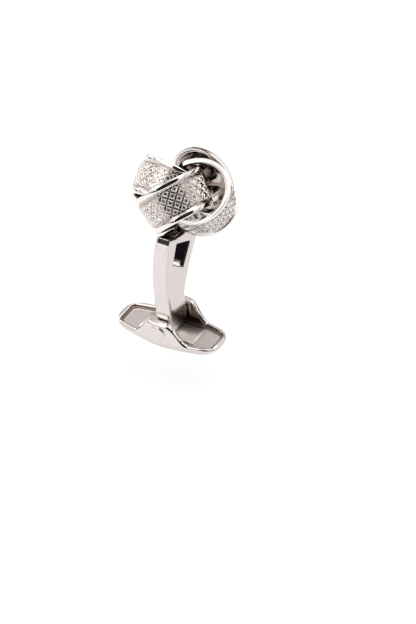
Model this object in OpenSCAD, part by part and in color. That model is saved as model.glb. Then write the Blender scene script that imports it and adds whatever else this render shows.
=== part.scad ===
// Swivel-back cufflink: a knot of four linked bands on a flat windowed post,
// with a boat-shaped toggle that turns on a riveted pin over a leaf spring.

/* [Knot] */
// Mean radius of each band's loop
loop_r = 4.76; // [4.6:0.02:4.9]
// Width of a band where it shows
band_w = 5.7; // [5.2:0.1:5.9]
// Half width above the band's middle line inside the knot, where the loops pass each other
neck_up = 1.41; // [1.3:0.01:1.42]
// Half width below that line at the same place
neck_down = 0.52; // [0.44:0.01:0.53]
// Wall of a band at its rims
band_wall = 0.86; // [0.6:0.02:0.9]
// Width of the raised rim along each edge of a band
rim_w = 0.75; // [0.5:0.05:1]
// Depth of the patterned bed between the two rims
bed_depth = 0.16; // [0.05:0.01:0.25]
// Chamfer on a rim's edge
rim_chamfer = 0.12; // [0.05:0.01:0.2]
// Distance of each loop's centre from the knot's axis
loop_out = 2.6; // [2.55:0.05:2.9]
// Sideways offset of each loop's centre
loop_side = 0.5; // [0.4:0.02:0.6]
// Tilt of the loops out of the level plane, in degrees
loop_tilt = 43; // [41:1:46]
// Roll of the loops about their own long line, in degrees
loop_roll = -2; // [-4:1:0]
// Turn of the whole knot about its own axis, in degrees
knot_turn = -6.5; // [-20:0.5:10]
// Lean of the knot's axis away from the post, in degrees
knot_lean = 11.5; // [8:0.5:13]

/* [Post] */
// Height of the knot's centre above the pin's axis
knot_rise = 18.95; // [18.5:0.05:21]
// Distance of the knot's centre behind the pin's middle
knot_back = 4.54; // [4:0.02:5]
// Thickness of the post
post_t = 2.5; // [2:0.1:2.6]
// Width of the post between the toggle's ears
knuckle_w = 5.1; // [4.6:0.1:5.2]
// Radius of the post's rounded end about the pin
knuckle_r = 1.65; // [1.5:0.05:1.7]
// Length of the straight neck above the pin
neck_h = 2.9; // [2.5:0.1:3.5]
// How far the post's back edge draws in over the knuckle
waist_in = 0.35; // [0:0.05:0.5]
// Reach of the post's top in front of the knot's axis
front_reach = 5.35; // [5:0.05:5.6]
// Reach of the post's top behind the knot's axis
back_reach = 3.9; // [3.7:0.1:4.1]
// Reach of the level part of that top to the front, before the wing
level_reach = 3.6; // [3.6:0.1:4]
// Rise of the wing, which cradles the front band
wing_rise = 0.37; // [0.2:0.01:0.38]

/* [Seat] */
// Length of the plate that carries the knot, let into the post's top
seat_l = 7; // [6:0.1:7]
// Width of that plate
seat_w = 1.6; // [1.2:0.1:1.6]
// Thickness of that plate
seat_t = 0.4; // [0.3:0.05:0.4]

/* [Toggle] */
// Length of the toggle
toggle_l = 17; // [15:0.5:20]
// Width of the toggle across its ears
toggle_w = 8.3; // [7.8:0.1:8.8]
// Width of the toggle at its square ends
end_w = 5.2; // [4.8:0.1:5.8]
// Height of the pin's axis above the keel
pin_z = 3.4; // [3.3:0.05:3.8]
// Thickness of the floor at the middle
floor_t = 1.3; // [1:0.05:1.35]
// Height of the rim at the ends
rim_z = 2; // [1.8:0.05:2.05]
// Thickness of the side walls
side_t = 0.8; // [0.6:0.05:0.9]
// Thickness of the end walls
end_t = 0.8; // [0.6:0.05:1.2]
// Rise of the keel from its middle to its ends
keel_rise = 0.9; // [0.4:0.05:1]
// Radius of the bottom edges
keel_edge_r = 2.1; // [1.6:0.1:2.3]
// Length of the flat at the middle of the keel
keel_flat_l = 4; // [2:0.5:5]
// Metal of the ears above the pin's centre
ear_over_pin = 1.55; // [1.3:0.05:1.6]
// Length of the level top of each ear
ear_top_l = 2.4; // [1.6:0.1:2.6]
// Half length of the hump that makes each ear
ear_reach = 4.5; // [4:0.1:4.6]
// Width of the step inside the rim
step_w = 0.3; // [0.15:0.05:0.4]
// Depth of the step below the rim
step_z = 0.45; // [0.3:0.05:0.6]

/* [Hinge] */
// Diameter of the pin
pin_d = 1.5; // [1.2:0.05:1.7]
// Diameter of the pin's riveted heads
pin_head_d = 2.3; // [2.1:0.05:2.4]
// Height of each riveted head
pin_head_h = 0.2; // [0.1:0.05:0.3]
// Thickness of the leaf spring
spring_t = 0.25; // [0.15:0.01:0.3]
// Width of the leaf spring
spring_w = 3.6; // [2:0.1:4]
// Length of the leaf spring
spring_l = 9; // [8:0.1:11]

/* [Fits] */
// Radial clearance of the pin in the post
pin_fit = 0.05; // [0.02:0.01:0.08]
// Clearance between the post and each ear
ear_fit = 0.15; // [0.05:0.01:0.2]
// Clearance between the post's round end and the spring's crown
spring_fit = 0.05; // [0.02:0.01:0.1]
// Clearance under the lowest line of the loops, and round the seat
seat_fit = 0.02; // [0.01:0.01:0.03]
// Clearance between the loops and the post's top
saddle_fit = 0.05; // [0.04:0.01:0.1]

/* [Hidden] */
$fn = 64;
silver = [0.86, 0.84, 0.83];
steel = [0.62, 0.6, 0.59];
// One overrun for every cut
over = 1;
// Stations round a loop
loop_n = 72;
// Steps along a curved outline
curve_n = 24;
// Steps round the toggle's bottom edges, in degrees, and the thickness of the skin laid at each
edge_step = 15;
skin_t = 0.01;
// Flattening of each loop along its tilt, as a share of its radius
loop_flat_share = 0.94;
// Growth of a loop's radius across its width, as a share of that width
loop_cone_share = 0.15;
// Middle of each edge's neck off the loop's inner end, and half angles at which it ends and the edge is full
neck_up_arc = [1.8, 21, 43.2];
neck_down_arc = [9.3, 32, 57.4];
// Roundness of the toggle's widest place, as a share of half its length
waist_share = 0.25;
// How far the control points of the post's edges stand out, as shares
front_bulge_shares = [[-0.003, 0.21], [-0.25, 0.473]];
back_bulge_shares = [[-0.126, 0.053], [-0.164, 0.684]];
// Corners of the post's window: width shares on the left, height shares on the right
window_shares = [[0.005, 0.986], [-0.135, 0.76], [0.186, 0.599], [0.432, 0.85]];
// Corner rounding of the window, as a share of each side
window_round_share = 0.14;

ear_in = knuckle_w / 2 + ear_fit;
ear_z = pin_z + ear_over_pin;
toggle_half = toggle_l / 2;
spring_crown = pin_z - knuckle_r - spring_fit;
lean_axis = [0, sin(knot_lean), cos(knot_lean)];
knot_c = [0, knot_back, pin_z + knot_rise];

// Smooth step from 0 to 1
function ease(t) = let (u = min(max(t, 0), 1)) u * u * (3 - 2 * u);
// Half width of a band at angle phi on one side, with that side's neck
function edge_at(phi, narrow, arc) =
    let (off = abs((((phi - arc[0]) % 360) + 360) % 360 - 180))
    narrow + (band_w / 2 - narrow) * ease((off - arc[1]) / (arc[2] - arc[1]));

// Axes of a loop: its long line, its tilted line and its axle
loop_axle0 = [0, -sin(loop_tilt), cos(loop_tilt)];
loop_t = [0, cos(loop_tilt), sin(loop_tilt)];
loop_axle = loop_axle0 * cos(loop_roll) + [sin(loop_roll), 0, 0];
loop_x = [cos(loop_roll), 0, 0] - loop_axle0 * sin(loop_roll);

// A point of the loop at angle phi, w along the axle and rho out from the mean surface
function loop_pt(phi, w, rho) =
    let (r = loop_r + rho + loop_cone_share * w)
    [loop_out, loop_side, 0] + loop_x * (r * cos(phi)) + loop_t * (r * loop_flat_share * sin(phi)) + loop_axle * w;

// Outline across the band: two raised rims and the bed between them
function band_section(phi) =
    let (u = edge_at(phi, neck_up, neck_up_arc), d = -edge_at(phi, neck_down, neck_down_arc))
    let (k = (u - d) / band_w, c = rim_chamfer * k, r = rim_w * k, b = bed_depth, t = band_wall / 2)
    [[d, c - t], [d, t - c], [d + c, t], [d + r - c / 2, t], [d + r, t - b], [u - r, t - b],
     [u - r + c / 2, t], [u - c, t], [u, t - c], [u, c - t], [u - c, -t], [d + c, -t]];

section_n = len(band_section(0));
loop_points = [for (i = [0 : loop_n - 1]) let (phi = i * 360 / loop_n)
    for (s = band_section(phi)) loop_pt(phi, s[0], s[1])];
function at(i, j) = (i % loop_n) * section_n + j % section_n;
loop_faces = [for (i = [0 : loop_n - 1]) for (j = [0 : section_n - 1])
    each [[at(i, j), at(i, j + 1), at(i + 1, j + 1)], [at(i, j), at(i + 1, j + 1), at(i + 1, j)]]];
// Depth of the lowest line of the loops below the knot's centre
knot_depth = -min([for (p = loop_points) p[2]]);

module in_knot() {
    translate(knot_c) rotate([-knot_lean, 0, 0]) children();
}

module knot_band(k) {
    color(silver) in_knot() rotate([0, 0, knot_turn + 90 * k])
        polyhedron(points = loop_points, faces = loop_faces, convexity = 6);
}

// Plate that carries the knot, grown by a gap all round
module seat_plate(gap, height) {
    end_y = (seat_l - seat_w) / 2;
    in_knot() translate([0, 0, -knot_depth - seat_fit - seat_t]) linear_extrude(height = height) union() {
        square([seat_w + 2 * gap, 2 * end_y], center = true);
        for (s = [-1, 1]) translate([0, s * end_y]) circle(r = seat_w / 2 + gap);
    }
}

module knot_seat() {
    color(silver) seat_plate(0, seat_t);
}

// Post, drawn in the YZ plane with the pin's axis at zero
post_top = -knot_depth - saddle_fit;
// A place beside the knot, r behind its axis and h above its centre
function by_knot(r, h) = [knot_back, knot_rise] + r * [cos(knot_lean), -sin(knot_lean)] + h * [sin(knot_lean), cos(knot_lean)];
post_top_w = front_reach + back_reach;
top_mid = by_knot(0, post_top);
front_top = by_knot(-front_reach, post_top + wing_rise);
back_top = by_knot(back_reach, post_top);
front_neck = [-knuckle_w / 2, neck_h];
back_neck = [knuckle_w / 2 - waist_in, neck_h];

function bezier(a, b, c, d, t) =
    a * pow(1 - t, 3) + b * (3 * t * pow(1 - t, 2)) + c * (3 * t * t * (1 - t)) + d * pow(t, 3);
function curve(a, b, c, d) = [for (i = [0 : curve_n]) bezier(a, b, c, d, i / curve_n)];
// A control point: shares of the post's width and height added to a straight line
function bulge(a, b, s) = a + (b - a) * s[1] + [s[0] * post_top_w, 0];

front_edge = curve(front_top, bulge(front_neck, front_top, front_bulge_shares[1]),
    bulge(front_neck, front_top, front_bulge_shares[0]), front_neck);
back_edge = curve(back_neck, bulge(back_neck, back_top, back_bulge_shares[0]),
    bulge(back_neck, back_top, back_bulge_shares[1]), back_top);
post_outline = concat([by_knot(-level_reach, post_top)], front_edge, [[-knuckle_w / 2, -knuckle_r], [knuckle_w / 2, -knuckle_r],
    [knuckle_w / 2, knuckle_r]], back_edge);
window_corners = [for (s = window_shares) [s[0] * post_top_w, s[1] * top_mid[1]]];
function round_corner(a, b, c) =
    let (p = b + (a - b) * window_round_share, q = b + (c - b) * window_round_share)
    [for (i = [0 : 4]) let (t = i / 4) p * pow(1 - t, 2) + b * (2 * t * (1 - t)) + q * t * t];
window_outline = [for (i = [0 : 3])
    each round_corner(window_corners[(i + 3) % 4], window_corners[i], window_corners[(i + 1) % 4])];

// Lays a drawing of Y and Z across X
module across(t) {
    translate([-t / 2, 0, pin_z]) rotate([90, 0, 90]) linear_extrude(height = t) children();
}

module post() {
    color(silver) difference() {
        intersection() {
            across(post_t) difference() {
                polygon(post_outline);
                polygon(window_outline);
            }
            union() {
                translate([0, knuckle_w, pin_z]) rotate([90, 0, 0]) cylinder(h = 2 * knuckle_w, r = knuckle_r);
                translate([-post_t, -post_top_w, pin_z]) cube([2 * post_t, 2 * post_top_w, knot_rise]);
            }
        }
        translate([0, knuckle_w, pin_z]) rotate([90, 0, 0]) cylinder(h = 2 * knuckle_w, r = pin_d / 2 + pin_fit);
        seat_plate(seat_fit, seat_t + over);
    }
}

// Half width of the toggle at x, straight to the ends and round at the ears
function half_w(x) =
    let (t = abs(x) / toggle_half, c = waist_share)
    end_w / 2 + (toggle_w - end_w) / 2 * (1 - (sqrt(t * t + c * c) - c) / (sqrt(1 + c * c) - c));
function rim_at(x) =
    let (u = (abs(x) - ear_top_l / 2) / (ear_reach - ear_top_l / 2))
    rim_z + (ear_z - rim_z) * (1 + cos(180 * min(max(u, 0), 1))) / 2;
function keel_at(x) = keel_rise * pow(max(abs(x) - keel_flat_l / 2, 0) / (toggle_half - keel_flat_l / 2), 2);
function span(half) = [for (i = [-curve_n : curve_n]) half * i / curve_n];

// Closed plan outline, in from the toggle's side by a wall, and no wider than a limit
function plan(half, wall, limit) = concat(
    [for (x = span(half)) [x, min(half_w(x) - wall, limit)]],
    [for (x = span(half)) [-x, -min(half_w(x) - wall, limit)]]);

// Body of the toggle before it is hollowed, with its bottom edges rounded along the plan
module toggle_hull() {
    hull() {
        for (a = [0 : edge_step : 90]) translate([0, 0, keel_edge_r * (1 - cos(a))])
            linear_extrude(height = skin_t) offset(delta = keel_edge_r * (sin(a) - 1)) polygon(plan(toggle_half, 0, toggle_w));
        translate([0, 0, keel_edge_r]) linear_extrude(height = ear_z) polygon(plan(toggle_half, 0, toggle_w));
    }
}

module toggle_shell() {
    ledge_half = toggle_half - end_t;
    pocket_half = ledge_half - step_w;
    color(silver) difference() {
        intersection() {
            toggle_hull();
            translate([0, toggle_w / 2, 0]) rotate([90, 0, 0]) linear_extrude(height = toggle_w)
                polygon(concat([for (x = span(toggle_half)) [x, keel_at(x)]],
                    [for (x = span(toggle_half)) [-x, rim_at(x)]]));
        }
        translate([0, 0, floor_t]) linear_extrude(height = ear_z + over)
            polygon(plan(pocket_half, side_t + step_w, ear_in));
        translate([0, 0, rim_z - step_z]) linear_extrude(height = ear_z + over)
            polygon(plan(ledge_half, side_t, ear_in));
        translate([0, toggle_w, pin_z]) rotate([90, 0, 0]) cylinder(h = 2 * toggle_w, r = pin_d / 2);
    }
}

module pivot_pin() {
    color(silver) translate([0, 0, pin_z]) rotate([90, 0, 0]) union() {
        cylinder(h = toggle_w, r = pin_d / 2, center = true);
        for (s = [0, 1]) mirror([0, 0, s]) translate([0, 0, toggle_w / 2])
            cylinder(h = pin_head_h, r1 = pin_head_d / 2, r2 = pin_head_d / 2 - pin_head_h);
    }
}

function bow(x) = floor_t + (spring_crown - spring_t - floor_t) * (1 + cos(360 * x / spring_l)) / 2;

module leaf_spring() {
    color(steel) translate([0, spring_w / 2, 0]) rotate([90, 0, 0]) linear_extrude(height = spring_w)
        polygon(concat([for (x = span(spring_l / 2)) [x, bow(x)]],
            [for (x = span(spring_l / 2)) [-x, bow(x) + spring_t]]));
}

toggle_shell();
leaf_spring();
pivot_pin();
post();
knot_seat();
knot_band(0);  // knot_band_1
knot_band(1);  // knot_band_2
knot_band(2);  // knot_band_3
knot_band(3);  // knot_band_4
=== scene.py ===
"""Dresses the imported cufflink: knurled knot bands, buffed post and toggle, studio and camera."""
import math

import bpy
import numpy as np
from mathutils import Matrix, Vector


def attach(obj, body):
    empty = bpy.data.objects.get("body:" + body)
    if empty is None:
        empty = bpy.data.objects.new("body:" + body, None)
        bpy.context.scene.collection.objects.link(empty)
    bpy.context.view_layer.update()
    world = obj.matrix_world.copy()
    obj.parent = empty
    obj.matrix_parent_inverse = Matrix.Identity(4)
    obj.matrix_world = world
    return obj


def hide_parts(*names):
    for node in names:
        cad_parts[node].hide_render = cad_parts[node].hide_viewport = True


# Lengths are in millimetres and angles in degrees, where nothing else is said. A pair called a
# band, such as UNDER_X, says where something starts and over what length it comes in; see fade.
MM = 0.001

# Knot: one loop, in four places round its axis
BANDS = 4
LOOP_R, BAND_W, WALL = 4.76, 5.7, 0.86
# Half width of a loop where it is narrowed, and the angles of the narrow part: middle, start, end
NECK_UP, NECK_UP_ARC = 1.41, (1.8, 21.0, 43.2)
NECK_DOWN, NECK_DOWN_ARC = 0.52, (9.3, 32.0, 57.4)
LOOP_OUT, LOOP_SIDE, LOOP_TILT, LOOP_ROLL = 2.6, 0.5, 43.0, -2.0
KNOT_TURN, KNOT_LEAN, KNOT_RISE, KNOT_BACK = -6.5, 11.5, 18.95, 4.54
# Share of the radius along the tilt, and growth of the radius with the width
FLAT, CONE = 0.94, 0.15

# Section of a band: smooth rims, grooves beside them and rounded back edges
RIM_W, RIM_R, RIM_POWER, RIM_ROWS = 0.75, 0.22, 3, 15
GROOVE_W, GROOVE_DEPTH, GROOVE_STEEP, GROOVE_ROWS = 0.3, 0.34, 1.4, 7
BACK_R, BACK_STEPS, BACK_ROWS = 0.2, (0.35, 0.7, 1.0), 12

# Square cells: how far their frames lie under the rims, and the pits and gaps under the frames
BED_TOP, PIT_DEPTH, BED_SIDE = 0.08, 0.26, (0.0, 0.06)
CELL, CELL_ANGLE = 1.02, 45.0
# In shares of a cell: where its frame ends outside and inside, and how deep its pit is
FRAME_OUT, FRAME_IN, PIT_SHARE = (-0.43, 0.11), (0.17, 0.11), 0.9

# Painted shade, from 0 to 1, in the cells, the grooves, the back edges, the loops' insides and on
# the knot's underside over the post
PIT, GROOVE_SHADE, BACK_SHADE, INSIDE, UNDER = 0.4, 0.5, 0.25, 0.55, 0.93
UNDER_X, UNDER_Z = (-2.6, 1.0), (3.2, 1.0)

# Post
POST_T, KNUCKLE_W, KNUCKLE_R, NECK_H, WAIST_IN = 2.5, 5.1, 1.65, 2.9, 0.35
FRONT_REACH, BACK_REACH, LEVEL_REACH, WING_RISE = 5.35, 3.9, 3.6, 0.37
KNOT_DEPTH, SADDLE_FIT = 5.06005, 0.05
# Bulges of the two sides: outwards in shares of the width, upwards in shares of the side
FRONT_BULGE = ((-0.003, 0.21), (-0.25, 0.473))
BACK_BULGE = ((-0.126, 0.053), (-0.164, 0.684))
# Corners of the window, in shares of the width and of the height
WINDOW = ((0.005, 0.986), (-0.135, 0.76), (0.186, 0.599), (0.432, 0.85))
# Roundings of the post, and how much narrower the scene's window is on each side
POST_ROUND, WINDOW_ROUND, KNUCKLE_ROUND, BORE_ROUND, WINDOW_TIGHT = 0.55, 0.3, 0.12, 0.06, 0.12
# Painted shade and satin of the post: its flanks, and painted shade on the window's walls from
# their foot up
FLANK_SHADE, FLANK_SATIN, FLANK = 0.14, 0.25, (-0.3, 0.25)
WINDOW_SHADE, WINDOW_EDGE, WINDOW_IN, WINDOW_FOOT = 1.0, (-0.2, 0.15), (0.12, 0.3), (12.0, 0.7)

# Toggle
PIN_Z, PIN_R, PIN_FIT = 3.4, 0.75, 0.05
TOGGLE_L, TOGGLE_W, END_W = 17.0, 8.3, 5.2
FLOOR_T, RIM_Z, SIDE_T, END_T = 1.3, 2.0, 0.88, 0.95
KEEL_RISE, KEEL_EDGE_R, KEEL_FLAT = 0.9, 2.1, 4.0
EAR_Z, EAR_TOP, EAR_REACH, EAR_IN = 4.95, 2.4, 4.5, 2.7
STEP_W, STEP_Z, WAIST = 0.22, 0.45, 0.25
# Roundings of the toggle, from outside to inside
END_ROUND, SIDE_ROUND, FOOT_ROUND, EDGE_ROUND = 2.2, 0.3, 0.5, 0.55
TRAY_ROUND, TRAY_LIP, LEDGE_ROUND, WELL_LIP, WELL_ROUND, PIN_LIP = 0.6, 0.45, 0.12, 0.15, 0.25, 0.05
# Painted shade on the toggle's parts
BASIN_SHADE, EAR_SHADE, LINING_SHADE, KEEL_SHADE = 0.12, 0.88, 0.8, 0.32
# Bands of painted shade and satin: over the keel; basin; lining of the well; inside of the ears;
# keel
OVER_KEEL = (0.85, 0.3)
BASIN_SIDE, BASIN_TOP = (-0.1, 0.15), (-0.1, 0.3)
LINING_SIDE, LINING_TOP, LINING_FOOT = (0.7, 0.12), (0.12, 0.2), (0.05, 0.1)
EAR_SIDE, EAR_INNER, EAR_END, EAR_UP = (0.7, 0.3), (1.9, 0.4), (-0.6, 1.5), (-0.4, 1.0)
KEEL_SIDE, KEEL_UP = (-0.6, 0.4), (-2.2, 2.2)

# Pin with peened heads, and spring strip
HEAD_R, HEAD_H, HEAD_SUNK, HEAD_CROWN, HEAD_POWER = 1.15, 0.2, 0.04, 0.98, 6
HEAD_ROWS, HEAD_TIP, PIN_SIDES = 14, 0.001, 72
SPRING_T, SPRING_W, SPRING_L, SPRING_FIT = 0.25, 3.6, 9.0, 0.05
SPRING_ROUND, SPRING_PLACES = 0.06, 60

# Fineness when trying things and in full: places round a loop, rows over its cells, and voxel
COARSE, FULL = (240, 30, 0.16), (700, 84, 0.09)
# Carving: turns, how many of them come last without evening, how far a point slides towards its
# neighbours' middle in the others, distance for measuring a slope, and least slope squared
ROUNDS, SETTLING, EVENING, PROBE, LEAST_STEEP = 18, 4, 0.4, 0.01, 0.15
# Distance that stands for far inside
DEEP = -9.0

# Metals: colour, roughness from and to, and scale, strength and depth in metres of the slow waves
# of the casting and of the fine grain of the buffing
# BRIGHT_TONE is the same silver as SILVER_TONE made brighter for the knot, as painted light
SILVER_TONE, BRIGHT_TONE, STEEL_TONE = (0.735, 0.69, 0.675), (0.88, 0.85, 0.83), (0.84, 0.81, 0.77)
MIRROR, CAST_WAVES, BUFF_GRAIN = (0.03, 0.06), (320, 0.35, 0.00012), (5200, 0.05, 0.00001)
STRIP, STRIP_WAVES, STRIP_GRAIN = (0.36, 0.46), (400, 0.3, 0.00005), (7000, 0.1, 0.00001)
WAVE_DETAIL, GRAIN_DETAIL, METAL_SPECULAR = 2.0, 4.0, 0.5
# Colours of the painted shade at a darkness of BROWN_AT and of 1
BROWN_AT, BROWN, BLACK = 0.8, (0.27, 0.205, 0.17), (0.012, 0.011, 0.013)
# Roughness that faces with painted shade and satin faces have over the buffed ones
DULLNESS, SATIN_ROUGH = 0.1, 0.34
# Sockets of a colour mix: share, both colours and result
MIX_SHARE, MIX_A, MIX_B, MIXED = 0, 6, 7, 2

# Room that the metal mirrors: brightness by height, from straight down (0) to straight up (1)
SKY = 1.25
HEIGHT_STOPS = ((0.0, 0.95), (0.5, 0.95), (0.515, 0.04), (0.58, 0.04), (0.62, 0.9), (0.68, 1.0),
                (0.69, 0.1), (0.715, 0.1), (0.73, 1.0), (1.0, 1.0))
# Directions of the dark room in front and of the grey one behind, with their brightness by how
# nearly a ray points there
DARK_SIDE, DARK_STOPS = (0.58, -0.62, 0.53), ((0.0, 1.0), (0.77, 1.0), (0.82, 0.02), (1.0, 0.02))
GREY_SIDE, GREY_STOPS = (-0.39, 0.70, 0.595), ((0.0, 1.0), (0.7, 1.0), (0.93, 0.66))
# Green and blue of the room, in shares of its red
WARMTH = (0.985, 0.98)
# Lights: name, place in metres, width and height in metres, and power in watts
LIGHTS = (("key", (-0.12, -0.18, 0.26), (0.16, 0.12), 0.12),
          ("fill", (-0.24, 0.06, 0.12), (0.10, 0.16), 0.08),
          ("top", (0.02, 0.10, 0.32), (0.20, 0.20), 0.25))
LIT_POINT = (0, 0.002, 0.015)
# Floor: height, low enough for the toggle at both ends of its swing, half its side in metres, and
# colour, glow, roughness and specular of its material
FLOOR_Z, FLOOR_HALF = -5.5, 0.6
FLOOR_TONE, GLOW, FLOOR_ROUGH, FLOOR_SPECULAR = 0.32, 0.74, 0.9, 0.1

# Camera: the photograph's scale, size in pixels and place of the pin in it; clip in metres
CAM_AZ, CAM_EL, CAM_ROLL, CAM_LENS, SENSOR = 30.5, 37.9, -1.4, 200.0, 36.0
PX_PER_MM, IMAGE_W, IMAGE_H, PIN_PX = 6.93, 416, 624, (171.5, 317.9)
CLIP = (0.01, 10)

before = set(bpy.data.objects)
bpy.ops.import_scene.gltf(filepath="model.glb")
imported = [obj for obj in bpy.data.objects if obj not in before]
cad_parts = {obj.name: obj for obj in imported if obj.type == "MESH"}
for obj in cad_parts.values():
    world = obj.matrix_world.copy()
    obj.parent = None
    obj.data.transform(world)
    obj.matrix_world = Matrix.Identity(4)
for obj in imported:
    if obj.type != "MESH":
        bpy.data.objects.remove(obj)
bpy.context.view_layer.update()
STATIONS, BED_ROWS, VOXEL = FULL


def ease(t):
    """Smooth step from 0 to 1."""
    u = np.clip(t, 0, 1)
    return u * u * (3 - 2 * u)


def fade(past, band):
    """0 until a value passes the band's start, and 1 from the band's length further."""
    start, length = band
    return ease((past - start) / length)


def smax(a, b, k):
    """Larger of two distances, with the corner between them rounded."""
    h = np.clip(0.5 + 0.5 * (a - b) / k, 0, 1)
    return b * (1 - h) + a * h + k * h * (1 - h)


# ---------------------------------------------------------------- materials

def node(tree, kind, **values):
    """Adds a shader node with its sockets' values and settings."""
    made = tree.nodes.new(kind)
    for key, value in values.items():
        if key in made.inputs:
            made.inputs[key].default_value = value
        else:
            setattr(made, key, value)
    return made


def relief(tree, place, detail, shape):
    """A noise and the bump that it makes."""
    scale, strength, depth = shape
    noise = node(tree, "ShaderNodeTexNoise", Scale=scale, Detail=detail)
    bump = node(tree, "ShaderNodeBump", Strength=strength, Distance=depth)
    tree.links.new(place.outputs["Object"], noise.inputs["Vector"])
    tree.links.new(noise.outputs["Fac"], bump.inputs["Height"])
    return noise, bump


def roughen(tree, share, amount, base):
    """Adds an amount of roughness by a share from 0 to 1."""
    more = node(tree, "ShaderNodeMath", operation="MULTIPLY_ADD")
    more.inputs[1].default_value = amount
    tree.links.new(share, more.inputs[0])
    tree.links.new(base, more.inputs[2])
    return more.outputs["Value"]


def metal(name, colour, roughness, wave, grain):
    """Polished plate: slow waves, fine grain, and painted shade and duller satin by attribute."""
    mat = bpy.data.materials.new(name)
    mat.use_nodes = True
    tree = mat.node_tree
    link = tree.links.new
    bsdf = tree.nodes["Principled BSDF"]
    bsdf.inputs["Metallic"].default_value = 1.0
    bsdf.inputs["Specular IOR Level"].default_value = METAL_SPECULAR
    place = node(tree, "ShaderNodeTexCoord")
    _, waves = relief(tree, place, WAVE_DETAIL, wave)
    fine, buffing = relief(tree, place, GRAIN_DETAIL, grain)
    link(waves.outputs["Normal"], buffing.inputs["Normal"])
    link(buffing.outputs["Normal"], bsdf.inputs["Normal"])
    rough = node(tree, "ShaderNodeMapRange")
    rough.inputs["To Min"].default_value = roughness[0]
    rough.inputs["To Max"].default_value = roughness[1]
    link(fine.outputs["Fac"], rough.inputs["Value"])
    # Painted shade: the colour goes towards brown and black, and the roughness rises
    painted_shade = node(tree, "ShaderNodeAttribute", attribute_name="painted_shade").outputs["Fac"]
    satin = node(tree, "ShaderNodeAttribute", attribute_name="satin").outputs["Fac"]
    dull = roughen(tree, painted_shade, DULLNESS, rough.outputs["Result"])
    link(roughen(tree, satin, SATIN_ROUGH, dull), bsdf.inputs["Roughness"])
    shade_ramp = node(tree, "ShaderNodeValToRGB")
    shade_ramp.color_ramp.elements.new(BROWN_AT)
    shades = ((0.0, colour), (BROWN_AT, BROWN), (1.0, BLACK))
    for element, (position, shade) in zip(shade_ramp.color_ramp.elements, shades):
        element.position = position
        element.color = (*shade, 1)
    link(painted_shade, shade_ramp.inputs["Fac"])
    link(shade_ramp.outputs["Color"], bsdf.inputs["Base Color"])
    return mat


SILVER = metal("plated_silver", SILVER_TONE, MIRROR, CAST_WAVES, BUFF_GRAIN)
# The knot's silver is the plated silver made brighter, as painted light
BRIGHT = metal("silver_painted_brighter", BRIGHT_TONE, MIRROR, CAST_WAVES, BUFF_GRAIN)
STEEL = metal("spring_steel", STEEL_TONE, STRIP, STRIP_WAVES, STRIP_GRAIN)


# ---------------------------------------------------------------- meshes

def piece(name, verts, faces, body, mat, nodes):
    """Makes a mesh piece from millimetre points and hands it to its body."""
    mesh = bpy.data.meshes.new(name)
    mesh.from_pydata([tuple(v) for v in verts * MM], [], [tuple(f) for f in faces])
    mesh.validate()
    mesh.update()
    for poly in mesh.polygons:
        poly.use_smooth = True
    obj = bpy.data.objects.new(name, mesh)
    bpy.context.scene.collection.objects.link(obj)
    mesh.materials.append(mat)
    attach(obj, body)
    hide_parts(*nodes)
    return obj


def set_shade_and_satin(obj, painted_shade, satin):
    """Stores the painted shade and the satin of each point."""
    for name, values in (("painted_shade", painted_shade), ("satin", satin)):
        layer = obj.data.attributes.new(name, "FLOAT", "POINT")
        layer.data.foreach_set("value", np.asarray(values, np.float32))


# ---------------------------------------------------------------- knot

def in_knot(points):
    """Moves points of the knot's own frame into the part's frame."""
    a = math.radians(KNOT_LEAN)
    x, y, z = points.T
    return np.stack([x, y * math.cos(a) + z * math.sin(a) + KNOT_BACK,
                     -y * math.sin(a) + z * math.cos(a) + PIN_Z + KNOT_RISE], 1)


def band_edge(phi, narrow, arc):
    """Half width of a band on one side, narrowed where the loops pass each other."""
    off = np.abs(np.mod(np.degrees(phi) - arc[0], 360) - 180)
    return narrow + (BAND_W / 2 - narrow) * ease((off - arc[1]) / (arc[2] - arc[1]))


def band_surface(phi, w, rho):
    """Points of a loop: angle, place along its axle and height over its mean surface."""
    t, p = math.radians(LOOP_TILT), math.radians(LOOP_ROLL)
    axle0 = np.array([0, -math.sin(t), math.cos(t)])
    along = np.array([0, math.cos(t), math.sin(t)])
    side = np.array([1.0, 0, 0])
    axle = axle0 * math.cos(p) + side * math.sin(p)
    across = side * math.cos(p) - axle0 * math.sin(p)
    r = LOOP_R + rho + CONE * w
    return (np.array([LOOP_OUT, LOOP_SIDE, 0]) + across * (r * np.cos(phi))[..., None]
            + along * (r * FLAT * np.sin(phi))[..., None] + axle * w[..., None])


def knurl(u, v):
    """Height (0 to 1) of the square cells, and where they take painted shade: a frame, its pit and
    the gap round it.
    """
    a = math.radians(CELL_ANGLE)
    p = (u * math.cos(a) + v * math.sin(a)) / CELL
    q = (v * math.cos(a) - u * math.sin(a)) / CELL
    off = np.maximum(np.abs(p - np.round(p)), np.abs(q - np.round(q)))
    cell = fade(-off, FRAME_OUT)
    pit = 1 - fade(off, FRAME_IN)
    return cell * (1 - PIT_SHARE * pit), np.maximum(1 - cell, pit)


def rim_rows():
    """A rim and the groove beside it: (inset from the band's edge, height, painted shade)."""
    top = WALL / 2
    start = top - RIM_R
    rows = []
    for s in np.linspace(0, 1, RIM_ROWS):
        c = math.cos(math.pi * s)
        bow = max(1 - abs(c) ** RIM_POWER, 0) ** (1 / RIM_POWER)
        rows.append((RIM_W * (1 - c) / 2, start + RIM_R * bow, 0.0))
    # Rows of the groove take painted shade as they go down
    for s in np.linspace(0, 1, GROOVE_ROWS)[1:]:
        fall = math.sin(math.pi * min(s * GROOVE_STEEP, 1) / 2)
        rows.append((RIM_W + GROOVE_W * s, start + (top - GROOVE_DEPTH - start) * fall,
                     GROOVE_SHADE * min(1, 2 * s)))
    return rows


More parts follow.
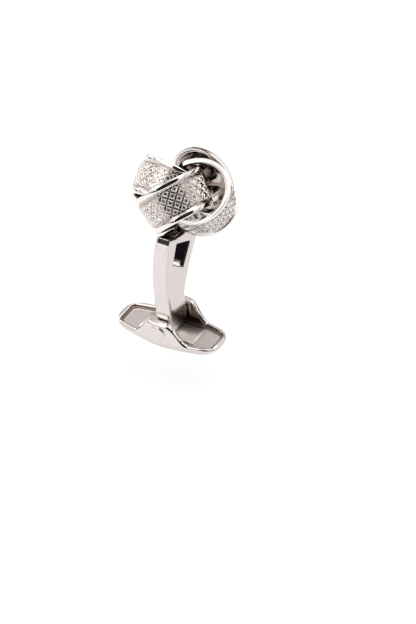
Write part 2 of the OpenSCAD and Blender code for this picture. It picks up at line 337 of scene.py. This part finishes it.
def back_corner():
    """A rounded back edge: (inset from the band's edge, height)."""
    turns = [t * math.pi / 2 for t in BACK_STEPS]
    return [(BACK_R * (1 - math.cos(t)), BACK_R * (1 - math.sin(t)) - WALL / 2) for t in turns]


def band_section():
    """Outline across a band: (share of the half width, inset, height, painted shade, bed share)."""
    rim, corner = rim_rows(), back_corner()
    rows = [(-1.0, inset, high, painted_shade, None) for inset, high, painted_shade in rim]
    rows += [(0.0, 0.0, 0.0, 0.0, s) for s in np.linspace(0, 1, BED_ROWS)[1:-1]]
    rows += [(1.0, inset, high, painted_shade, None) for inset, high, painted_shade in rim[::-1]]
    # Back edges and the loop's inside carry painted shade
    rows += [(1.0, inset, low, BACK_SHADE, None) for inset, low in corner]
    rows += [(t, BACK_R, -WALL / 2, INSIDE, None) for t in np.linspace(1, -1, BACK_ROWS)[1:-1]]
    rows += [(-1.0, inset, low, BACK_SHADE, None) for inset, low in corner[::-1]]
    return rows


def tube_faces(n, m):
    """Quads of n rings of m points each, closed both ways."""
    i, j = (g.ravel() for g in np.meshgrid(np.arange(n), np.arange(m), indexing="ij"))
    i2, j2 = (i + 1) % n, (j + 1) % m
    return np.stack([i * m + j, i2 * m + j, i2 * m + j2, i * m + j2], 1)


def loop_points():
    """Points of one loop in its first place, and the painted shade of each."""
    phi = np.linspace(0, 2 * math.pi, STATIONS, endpoint=False)
    up = band_edge(phi, NECK_UP, NECK_UP_ARC)
    down = band_edge(phi, NECK_DOWN, NECK_DOWN_ARC)
    k = (up + down) / BAND_W
    bottom = WALL / 2 - GROOVE_DEPTH
    cell_long = CELL * math.sqrt(2)
    u = phi / (2 * math.pi) * round(2 * math.pi * LOOP_R / cell_long) * cell_long
    inset = (RIM_W + GROOVE_W) * k
    rings, painted_shades = [], []
    for share, off, high, painted_shade, bed in band_section():
        if bed is None:
            w = (up - off * k) * max(share, 0) + (down - off * k) * min(share, 0)
            high, painted_shade = np.full_like(phi, high), np.full_like(phi, painted_shade)
        else:
            w = (inset - down) * (1 - bed) + (up - inset) * bed
            cell, hole = knurl(u, w)
            side = fade(min(bed, 1 - bed), BED_SIDE)
            high = bottom + side * (GROOVE_DEPTH - BED_TOP - PIT_DEPTH * (1 - cell))
            high = np.maximum(high, bottom)
            # Painted shade in the cells' pits and gaps and at the sides of the bed
            painted_shade = np.clip(hole * PIT + (1 - side) * GROOVE_SHADE, 0, 1)
        rings.append(band_surface(phi, w, high))
        painted_shades.append(painted_shade)
    faces = tube_faces(STATIONS, len(rings))
    return np.stack(rings, 1).reshape(-1, 3), np.stack(painted_shades, 1).ravel(), faces


def knot_band(index):
    """A loop turned to its place round the knot's axis, with painted shade over the post."""
    pts, painted_shade, faces = loop_points()
    turn = math.radians(KNOT_TURN + 360 / BANDS * index)
    c, s = math.cos(turn), math.sin(turn)
    x, y, z = pts.T
    pts = np.stack([x * c - y * s, x * s + y * c, z], 1)
    # Painted shade on the knot's underside over the post
    under = UNDER * fade(-np.abs(pts[:, 0]), UNDER_X) * fade(-z, UNDER_Z)
    obj = piece(f"knurled_band_{index + 1}", in_knot(pts), faces, "link", BRIGHT,
                [f"knot_band_{index + 1}"])
    painted_shade = np.maximum(painted_shade, under)
    set_shade_and_satin(obj, painted_shade, np.zeros_like(painted_shade))


# ---------------------------------------------------------------- carved pieces

def even_mesh(name, source):
    """Points, faces and edges both ways of a CAD node's copy, meshed evenly."""
    rough = bpy.data.objects.new(name + "_rough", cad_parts[source].data.copy())
    bpy.context.scene.collection.objects.link(rough)
    mod = rough.modifiers.new("mesh", "REMESH")
    mod.mode = "VOXEL"
    mod.voxel_size = VOXEL * MM
    bpy.context.view_layer.update()
    done = rough.evaluated_get(bpy.context.evaluated_depsgraph_get()).to_mesh()
    pts = np.zeros(len(done.vertices) * 3)
    done.vertices.foreach_get("co", pts)
    faces = [tuple(p.vertices) for p in done.polygons]
    ends = np.zeros(len(done.edges) * 2, np.int32)
    done.edges.foreach_get("vertices", ends)
    ends = ends.reshape(-1, 2)
    bpy.data.objects.remove(rough)
    return pts.reshape(-1, 3) / MM, faces, np.concatenate([ends, ends[:, ::-1]])


def carve(name, source, field, shade, body):
    """Draws every point of an evenly meshed CAD node onto the rounded surface."""
    pts, faces, ends = even_mesh(name, source)
    near = np.bincount(ends[:, 0], minlength=len(pts))[:, None]
    for turn in range(ROUNDS):
        f = field(pts)
        grad = np.stack([(field(pts + d) - field(pts - d)) / (2 * PROBE)
                         for d in np.eye(3) * PROBE], 1)
        steep = np.maximum((grad ** 2).sum(1), LEAST_STEEP)
        pts = pts - grad * np.clip(f / steep, -VOXEL, VOXEL)[:, None]
        if turn < ROUNDS - SETTLING:
            sums = [np.bincount(ends[:, 0], c[ends[:, 1]], len(pts)) for c in pts.T]
            slide = np.stack(sums, 1) / near - pts
            slide -= grad * ((slide * grad).sum(1) / steep)[:, None]
            pts = pts + EVENING * slide
    obj = piece(name, pts, faces, body, SILVER, [source])
    set_shade_and_satin(obj, *shade(pts))


def outline_field(poly):
    """Signed distance in the plane to a closed outline, negative inside."""
    a = np.asarray(poly)
    b = np.roll(a, -1, 0)

    def f(p):
        best = np.full(len(p), 1e9)
        inside = np.zeros(len(p), bool)
        for (ax, ay), (bx, by) in zip(a, b):
            ex, ey = bx - ax, by - ay
            wx, wy = p[:, 0] - ax, p[:, 1] - ay
            t = np.clip((wx * ex + wy * ey) / max(ex * ex + ey * ey, 1e-12), 0, 1)
            best = np.minimum(best, (wx - ex * t) ** 2 + (wy - ey * t) ** 2)
            cross = (ay > p[:, 1]) != (by > p[:, 1])
            if ay != by:
                inside ^= cross & (p[:, 0] < ax + (p[:, 1] - ay) * ex / (by - ay))
        return np.sqrt(best) * np.where(inside, -1, 1)
    return f


# ---------------------------------------------------------------- post

def bezier(a, b, c, d, n=24):
    """Points of a cubic curve."""
    a, b, c, d = map(np.asarray, (a, b, c, d))
    return [a * (1 - t) ** 3 + b * 3 * t * (1 - t) ** 2 + c * 3 * t * t * (1 - t) + d * t ** 3
            for t in np.linspace(0, 1, n + 1)]


def by_knot(r, h):
    """A place beside the knot in the YZ plane, r behind its axis and h above its centre."""
    lean = math.radians(KNOT_LEAN)
    return (np.array([KNOT_BACK, KNOT_RISE]) + r * np.array([math.cos(lean), -math.sin(lean)])
            + h * np.array([math.sin(lean), math.cos(lean)]))


def post_lines():
    """The post's outline and its window in the YZ plane, with the pin at zero height."""
    top = -KNOT_DEPTH - SADDLE_FIT
    wide = FRONT_REACH + BACK_REACH
    front_top, back_top = by_knot(-FRONT_REACH, WING_RISE + top), by_knot(BACK_REACH, top)
    half = KNUCKLE_W / 2
    front_neck, back_neck = np.array([-half, NECK_H]), np.array([half - WAIST_IN, NECK_H])

    def bulge(a, b, s):
        return a + (b - a) * s[1] + np.array([s[0] * wide, 0])

    front = bezier(front_top, bulge(front_neck, front_top, FRONT_BULGE[1]),
                   bulge(front_neck, front_top, FRONT_BULGE[0]), front_neck)
    back = bezier(back_neck, bulge(back_neck, back_top, BACK_BULGE[0]),
                  bulge(back_neck, back_top, BACK_BULGE[1]), back_top)
    corners = ((-half, -KNUCKLE_R), (half, -KNUCKLE_R), (half, KNUCKLE_R))
    knuckle = [np.array(p) for p in corners]
    outline = [by_knot(-LEVEL_REACH, top)] + front + knuckle + back
    window = [np.array([s[0] * wide, s[1] * by_knot(0, top)[1]]) for s in WINDOW]
    return outline, window


def post_shade(p):
    """Satin flanks with painted shade, and painted shade in the window, left off at its bright
    foot.
    """
    hole = outline_field(post_lines()[1])(np.stack([p[:, 1], p[:, 2] - PIN_Z], 1))
    x = np.abs(p[:, 0])
    # Painted shade on the window's walls, from their foot up, and on the flanks
    inside = fade(-hole, WINDOW_EDGE) * fade(POST_T / 2 - x, WINDOW_IN) * fade(p[:, 2], WINDOW_FOOT)
    flank = fade(x - POST_T / 2, FLANK)
    return np.maximum(FLANK_SHADE * flank, WINDOW_SHADE * inside), FLANK_SATIN * flank


def post_field():
    """Distance to the post's surface: outline, window, round end and bore."""
    outline, window = post_lines()
    solid, hole = outline_field(outline), outline_field(window)

    def f(p):
        yz = np.stack([p[:, 1], p[:, 2] - PIN_Z], 1)
        body = smax(np.abs(p[:, 0]) - POST_T / 2, solid(yz), POST_ROUND)
        body = smax(body, -(hole(yz) + WINDOW_TIGHT), WINDOW_ROUND)
        axle = np.hypot(p[:, 0], p[:, 2] - PIN_Z)
        low = np.where(p[:, 2] < PIN_Z, axle - KNUCKLE_R, DEEP)
        body = smax(body, low, KNUCKLE_ROUND)
        return smax(body, PIN_R + PIN_FIT - axle, BORE_ROUND)
    return f


# ---------------------------------------------------------------- toggle

def half_w(x):
    """Half the toggle's width at a place along it."""
    t = np.abs(x) / (TOGGLE_L / 2)
    root = np.sqrt(t * t + WAIST ** 2) - WAIST
    return END_W / 2 + (TOGGLE_W - END_W) / 2 * (1 - root / (math.sqrt(1 + WAIST ** 2) - WAIST))


def toggle_shade(p):
    """Satin basin with painted shade, painted shade on the walls under the ears and in the well,
    and a keel with painted shade, darker and duller towards its foot.
    """
    x, y, z = np.abs(p[:, 0]), np.abs(p[:, 1]), p[:, 2]
    wall = half_w(x) - y
    inward = np.minimum(wall, TOGGLE_L / 2 - x)
    above = fade(z, OVER_KEEL)
    basin = above * fade(inward - SIDE_T, BASIN_SIDE) * fade(RIM_Z - z, BASIN_TOP)
    lining = (fade(inward, LINING_SIDE) * fade(RIM_Z - z, LINING_TOP)
              * fade(z - FLOOR_T, LINING_FOOT))
    ear = above * fade(wall, EAR_SIDE) * fade(y, EAR_INNER)
    ear = ear * fade(EAR_REACH - x, EAR_END) * fade(PIN_Z - z, EAR_UP)
    keel = fade(-wall, KEEL_SIDE) * fade(-z, KEEL_UP)
    # Painted shade under the ears, on the well's walls, on the keel towards its foot and lightly in
    # the basin
    dark = np.maximum(np.maximum(EAR_SHADE * ear, LINING_SHADE * lining), KEEL_SHADE * keel)
    return np.clip(np.maximum(BASIN_SHADE * basin, dark), 0, 1), basin


def toggle_field():
    """Distance to the toggle's surface: boat with ears, stepped tray and the pin's bore."""
    half = TOGGLE_L / 2
    ear_run = EAR_REACH - EAR_TOP / 2

    def outside(x, y, z):
        away = np.clip((x - EAR_TOP / 2) / ear_run, 0, 1)
        rim = RIM_Z + (EAR_Z - RIM_Z) * (1 + np.cos(np.pi * away)) / 2
        slope = np.sin(np.pi * away) * (EAR_Z - RIM_Z) * np.pi / 2 / ear_run
        keel = KEEL_RISE * (np.maximum(x - KEEL_FLAT / 2, 0) / (half - KEEL_FLAT / 2)) ** 2
        edge = smax(y - half_w(x), x - half, END_ROUND)
        corner = np.hypot(np.maximum(edge + KEEL_EDGE_R, 0), np.maximum(KEEL_EDGE_R - z, 0))
        upright = (edge < -KEEL_EDGE_R) & (z > KEEL_EDGE_R)
        corner = np.where(upright, -1.0, corner - KEEL_EDGE_R)
        outer = smax(smax(edge, corner, SIDE_ROUND), keel - z, FOOT_ROUND)
        return smax(outer, (z - rim) / np.sqrt(1 + slope ** 2), EDGE_ROUND)

    def f(p):
        x, y, z = np.abs(p[:, 0]), np.abs(p[:, 1]), p[:, 2]
        wide = np.minimum(half_w(x) - SIDE_T, EAR_IN)
        narrow = np.minimum(half_w(x) - SIDE_T - STEP_W, EAR_IN)
        tray = smax(y - wide, x - (half - END_T), TRAY_ROUND)
        tray = smax(tray, RIM_Z - STEP_Z - z, LEDGE_ROUND)
        well = smax(y - narrow, x - (half - END_T - STEP_W), TRAY_ROUND)
        well = smax(well, FLOOR_T - z, WELL_ROUND)
        shell = smax(outside(x, y, z), -tray, TRAY_LIP)
        shell = smax(shell, -well, WELL_LIP)
        return smax(shell, PIN_R - np.hypot(p[:, 0], z - PIN_Z), PIN_LIP)
    return f


# ---------------------------------------------------------------- pin and spring

def revolve(profile, n, sign):
    """Turns (radius, y) points about the pin's axis, on the side of the sign."""
    verts, faces = [], []
    for r, y in profile:
        for i in range(n):
            a = 2 * math.pi * i / n
            verts.append((r * math.cos(a), sign * y, PIN_Z + r * math.sin(a)))
    for k in range(len(profile) - 1):
        for i in range(n):
            j = (i + 1) % n
            quad = (k * n + i, k * n + j, (k + 1) * n + j, (k + 1) * n + i)
            faces.append(quad if sign > 0 else quad[::-1])
    return verts, faces


def rivet_pin():
    """Pin with peened, slightly domed heads."""
    w = TOGGLE_W / 2
    profile = [(HEAD_TIP, w + HEAD_H)]
    for s in np.linspace(0.1, 1, HEAD_ROWS):
        dome = math.sqrt(max(1 - (s * HEAD_CROWN) ** HEAD_POWER, 0))
        profile.append((HEAD_R * s, w + HEAD_H * dome))
    profile += [(HEAD_R, w - HEAD_SUNK), (PIN_R, w - HEAD_SUNK), (PIN_R, 0)]
    v1, f1 = revolve(profile, PIN_SIDES, 1)
    v2, f2 = revolve(profile, PIN_SIDES, -1)
    off = len(v1)
    verts = np.array(v1 + v2)
    faces = [tuple(reversed(f)) for f in f1] + [tuple(i + off for i in reversed(f)) for f in f2]
    piece("rivet_pin", verts, faces, "toggle", SILVER, ["pivot_pin"])


def spring_strip():
    """Bowed strip with rounded edges, with its crown under the post's round end."""
    crown = PIN_Z - KNUCKLE_R - SPRING_FIT
    x = np.linspace(-SPRING_L / 2, SPRING_L / 2, SPRING_PLACES)
    rise = (crown - SPRING_T - FLOOR_T) * (1 + np.cos(2 * np.pi * x / SPRING_L)) / 2
    w, t, b = SPRING_W / 2, SPRING_T, SPRING_ROUND
    ring = [(-w, b), (-w, t - b), (-w + b, t), (w - b, t),
            (w, t - b), (w, b), (w - b, 0), (-w + b, 0)]
    verts = np.array([(xi, y, zi + dz) for xi, zi in zip(x, FLOOR_T + rise) for y, dz in ring])
    m = len(ring)
    faces = [(i * m + j, i * m + (j + 1) % m, (i + 1) * m + (j + 1) % m, (i + 1) * m + j)
             for i in range(SPRING_PLACES - 1) for j in range(m)]
    faces += [tuple(range(m))[::-1], tuple((SPRING_PLACES - 1) * m + j for j in range(m))]
    piece("spring_strip", verts, faces, "toggle", STEEL, ["leaf_spring"])


# ---------------------------------------------------------------- studio

def area(name, place, size, power):
    """A rectangular light that points at the cufflink."""
    light = bpy.data.lights.new(name, "AREA")
    light.shape = "RECTANGLE"
    light.size, light.size_y = size
    light.energy = power
    obj = bpy.data.objects.new(name, light)
    bpy.context.scene.collection.objects.link(obj)
    obj.location = Vector(place)
    toward = Vector(LIT_POINT) - Vector(place)
    obj.rotation_euler = toward.to_track_quat("-Z", "Y").to_euler()


def set_stops(ramp, stops):
    """Fills a colour ramp with warm greys."""
    while len(ramp.color_ramp.elements) < len(stops):
        ramp.color_ramp.elements.new(0.5)
    for element, (pos, val) in zip(ramp.color_ramp.elements, stops):
        element.position = pos
        element.color = (val, val * WARMTH[0], val * WARMTH[1], 1)


def room_ramp(tree, value, stops):
    """Brightness of the room by a value."""
    ramp = node(tree, "ShaderNodeValToRGB")
    set_stops(ramp, stops)
    tree.links.new(value, ramp.inputs["Fac"])
    return ramp.outputs["Color"]


def room_by_height(tree, place):
    """Bright and dark levels of the room."""
    split = node(tree, "ShaderNodeSeparateXYZ")
    lift = node(tree, "ShaderNodeMapRange")
    lift.inputs["From Min"].default_value = -1
    tree.links.new(place.outputs["Generated"], split.inputs["Vector"])
    tree.links.new(split.outputs["Z"], lift.inputs["Value"])
    return room_ramp(tree, lift.outputs["Result"], HEIGHT_STOPS)


def room_by_side(tree, place, direction, stops):
    """Darkening of the room towards a direction."""
    toward = node(tree, "ShaderNodeVectorMath", operation="DOT_PRODUCT")
    toward.inputs[1].default_value = direction
    tree.links.new(place.outputs["Generated"], toward.inputs[0])
    return room_ramp(tree, toward.outputs["Value"], stops)


def multiply(tree, a, b):
    """Product of two colours."""
    both = node(tree, "ShaderNodeMix", data_type="RGBA", blend_type="MULTIPLY")
    both.inputs[MIX_SHARE].default_value = 1.0
    tree.links.new(a, both.inputs[MIX_A])
    tree.links.new(b, both.inputs[MIX_B])
    return both.outputs[MIXED]


def room():
    """World: the room for the metal to mirror, and plain white behind the cufflink."""
    world = bpy.data.worlds.new("studio")
    bpy.context.scene.world = world
    world.use_nodes = True
    tree = world.node_tree
    back = tree.nodes["Background"]
    place = node(tree, "ShaderNodeTexCoord")
    sides = multiply(tree, room_by_side(tree, place, DARK_SIDE, DARK_STOPS),
                     room_by_side(tree, place, GREY_SIDE, GREY_STOPS))
    mirrored = multiply(tree, room_by_height(tree, place), sides)
    seen = node(tree, "ShaderNodeLightPath")
    pale = node(tree, "ShaderNodeMix", data_type="RGBA")
    pale.inputs[MIX_B].default_value = (1.0, 1.0, 1.0, 1)
    tree.links.new(seen.outputs["Is Camera Ray"], pale.inputs[MIX_SHARE])
    tree.links.new(mirrored, pale.inputs[MIX_A])
    tree.links.new(pale.outputs[MIXED], back.inputs["Color"])
    back.inputs["Strength"].default_value = SKY


def white_floor():
    """Softly glowing white table."""
    mesh = bpy.data.meshes.new("floor")
    s = FLOOR_HALF
    z = FLOOR_Z * MM
    mesh.from_pydata([(-s, -s, z), (s, -s, z), (s, s, z), (-s, s, z)], [], [(0, 1, 2, 3)])
    floor = bpy.data.objects.new("floor", mesh)
    bpy.context.scene.collection.objects.link(floor)
    mat = bpy.data.materials.new("floor_white")
    mat.use_nodes = True
    bsdf = mat.node_tree.nodes["Principled BSDF"]
    bsdf.inputs["Base Color"].default_value = (FLOOR_TONE, FLOOR_TONE, FLOOR_TONE, 1)
    bsdf.inputs["Emission Color"].default_value = (1.0, 1.0, 1.0, 1)
    bsdf.inputs["Emission Strength"].default_value = GLOW
    bsdf.inputs["Roughness"].default_value = FLOOR_ROUGH
    bsdf.inputs["Specular IOR Level"].default_value = FLOOR_SPECULAR
    mesh.materials.append(mat)


def camera():
    """The photograph's view, placed by where the pin stands in it."""
    a, e = math.radians(CAM_AZ), math.radians(CAM_EL)
    right = Vector((math.cos(a), math.sin(a), 0))
    up = Vector((-math.sin(a) * math.sin(e), math.cos(a) * math.sin(e), math.cos(e)))
    back = Vector((math.sin(a) * math.cos(e), -math.cos(a) * math.cos(e), math.sin(e)))
    roll = Matrix.Rotation(math.radians(CAM_ROLL), 3, back)
    right, up = roll @ right, roll @ up
    shift = right * ((IMAGE_W / 2 - PIN_PX[0]) / PX_PER_MM)
    lift = up * ((PIN_PX[1] - IMAGE_H / 2) / PX_PER_MM)
    aim = (Vector((0, 0, PIN_Z)) + shift + lift) * MM
    high = IMAGE_H / PX_PER_MM * MM
    distance = high * CAM_LENS / SENSOR
    data = bpy.data.cameras.new("camera")
    data.lens = CAM_LENS
    data.sensor_width = data.sensor_height = SENSOR
    data.clip_start, data.clip_end = CLIP
    obj = bpy.data.objects.new("camera", data)
    bpy.context.scene.collection.objects.link(obj)
    obj.matrix_world = Matrix((
        (right.x, up.x, back.x, aim.x + back.x * distance),
        (right.y, up.y, back.y, aim.y + back.y * distance),
        (right.z, up.z, back.z, aim.z + back.z * distance),
        (0, 0, 0, 1)))
    bpy.context.scene.camera = obj


for k in range(BANDS):
    knot_band(k)
carve("buffed_post", "post", post_field(), post_shade, "link")
carve("buffed_toggle", "toggle_shell", toggle_field(), toggle_shade, "toggle")
rivet_pin()
spring_strip()
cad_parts["knot_seat"].data.materials.clear()
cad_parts["knot_seat"].data.materials.append(BRIGHT)
room()
white_floor()
for light in LIGHTS:
    area(*light)
camera()
bpy.context.scene.view_settings.view_transform = "Standard"
